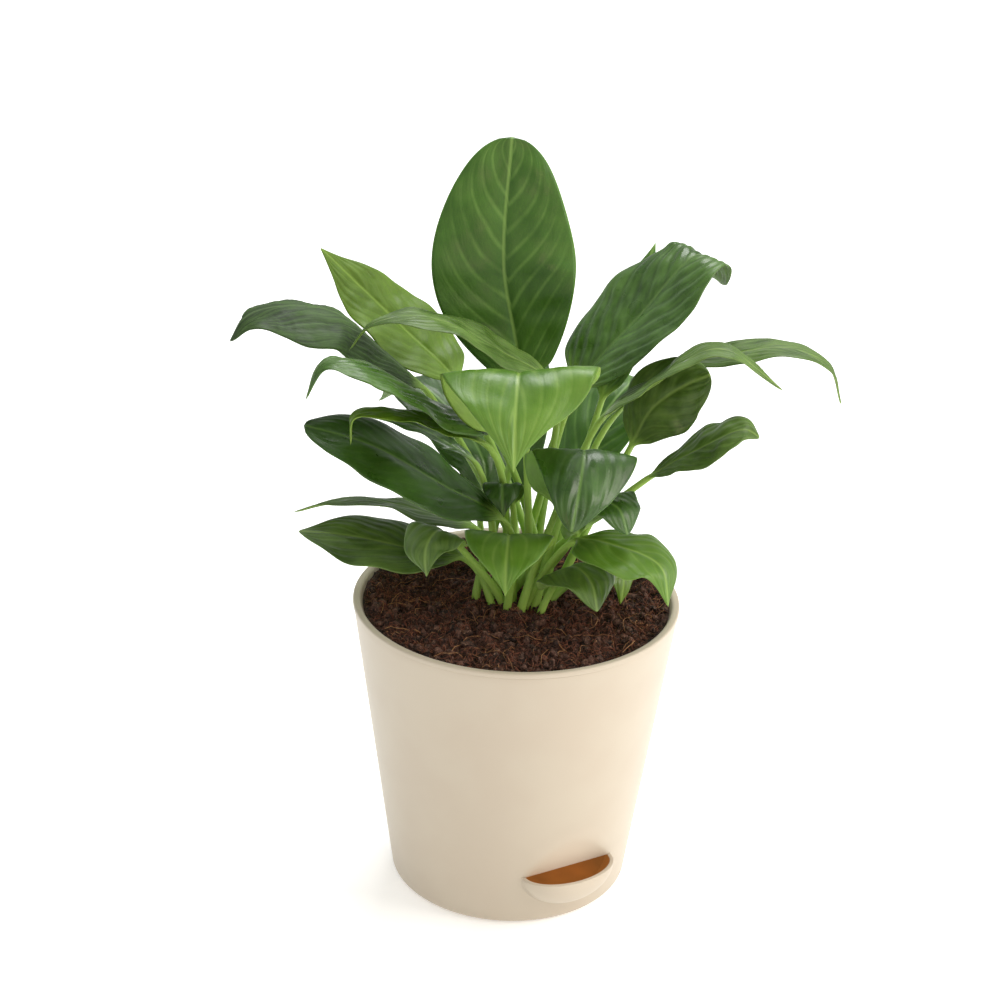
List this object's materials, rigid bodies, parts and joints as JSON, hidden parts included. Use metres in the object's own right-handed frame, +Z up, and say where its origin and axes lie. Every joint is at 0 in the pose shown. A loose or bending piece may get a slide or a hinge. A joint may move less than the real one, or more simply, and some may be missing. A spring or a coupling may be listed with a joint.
{
  "type": "potted peace lily",
  "caption": "Young peace lily with arching pointed leaves in coir soil, in a round tapered self-watering planter with a scoop-shaped filling mouth near its base.",
  "frame": {"origin": "centre of the planter's base, on the surface that it stands on", "axes": "+Z up along the planter's axis, -Y towards the watering mouth, +X to the right of someone who faces the mouth"},
  "size_m": [0.2515, 0.2021, 0.353],
  "materials": {
    "planter": "smooth ivory polypropylene with a soft sheen",
    "planter_insert": "smooth ivory polypropylene with a soft sheen",
    "soil": "loose coir fibre and dark potting mix, rough and dull",
    "leaf": "mid to dark green living leaf, pleated along its veins, with a waxy sheen",
    "young_leaf": "light yellow-green living leaf with a waxy sheen"
  },
  "bodies": {
    "root": {"outer_pot": "planter", "inner_pot": "planter_insert", "soil": "soil", "leaf_tall_back": "leaf", "leaf_right_upper": "leaf", "leaf_right_hidden": "leaf", "leaf_left_bright": "young_leaf", "leaf_left_arch": "leaf", "leaf_left_dark": "leaf", "leaf_left_mid": "leaf", "leaf_front_centre": "young_leaf", "leaf_right_long": "leaf", "leaf_right_arch": "leaf", "leaf_right_round": "leaf", "leaf_right_low": "leaf", "leaf_centre_right": "leaf", "leaf_centre_small": "leaf", "leaf_front_right": "leaf", "leaf_front_small": "leaf", "leaf_front_pale": "young_leaf", "leaf_front_low": "young_leaf", "leaf_front_left": "leaf", "leaf_left_low": "leaf", "leaf_left_thin": "leaf", "leaf_left_big": "leaf", "leaf_left_wavy": "leaf", "leaf_left_narrow": "leaf", "leaf_inner_short": "leaf", "leaf_back_right": "leaf", "leaf_back_left": "leaf", "leaf_back_low": "leaf"}
  },
  "joints": []
}
